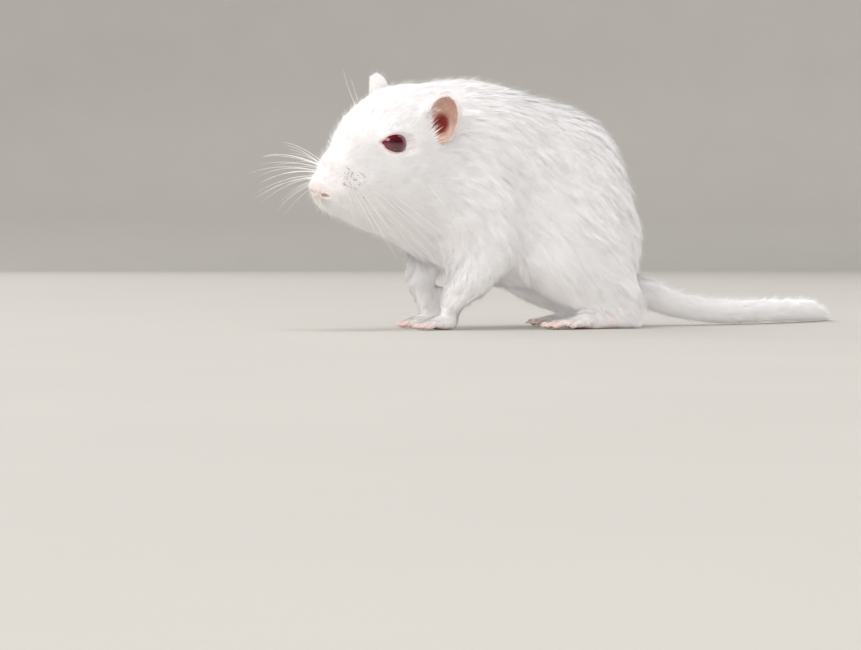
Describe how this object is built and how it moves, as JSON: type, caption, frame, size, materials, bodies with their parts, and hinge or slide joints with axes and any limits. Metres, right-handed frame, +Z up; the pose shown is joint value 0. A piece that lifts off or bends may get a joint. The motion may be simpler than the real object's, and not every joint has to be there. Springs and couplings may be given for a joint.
{
  "type": "pink-eyed white gerbil museum model",
  "caption": "Life-size still model of a pink-eyed white Mongolian gerbil crouched on all fours, head turned to its left, furred tail laid along the floor.",
  "frame": {"origin": "centre of the bounding box in plan, on the floor that the feet and tail rest on", "axes": "+Z up, -Y the way the trunk faces, +X the animal's left side; the head is turned 18 degrees towards +X and the tail lies back along +Y and curves towards -X"},
  "size_m": [0.056, 0.1692, 0.0614],
  "materials": {
    "fur": "soft matte fur",
    "bare_skin": "thin pink skin under sparse white hair",
    "eye": "wet gloss"
  },
  "bodies": {
    "root": {"ear_left": "bare_skin", "ear_right": "bare_skin", "eye_left": "eye", "eye_right": "eye", "forefoot_left": "bare_skin", "forefoot_right": "bare_skin", "foreleg_left": "fur", "foreleg_right": "fur", "head": "fur", "hindfoot_left": "bare_skin", "hindfoot_right": "bare_skin", "hindleg_left": "fur", "hindleg_right": "fur", "neck": "fur", "tail_end": "fur", "tail_middle": "fur", "tail_root": "fur", "trunk": "fur"}
  },
  "joints": []
}
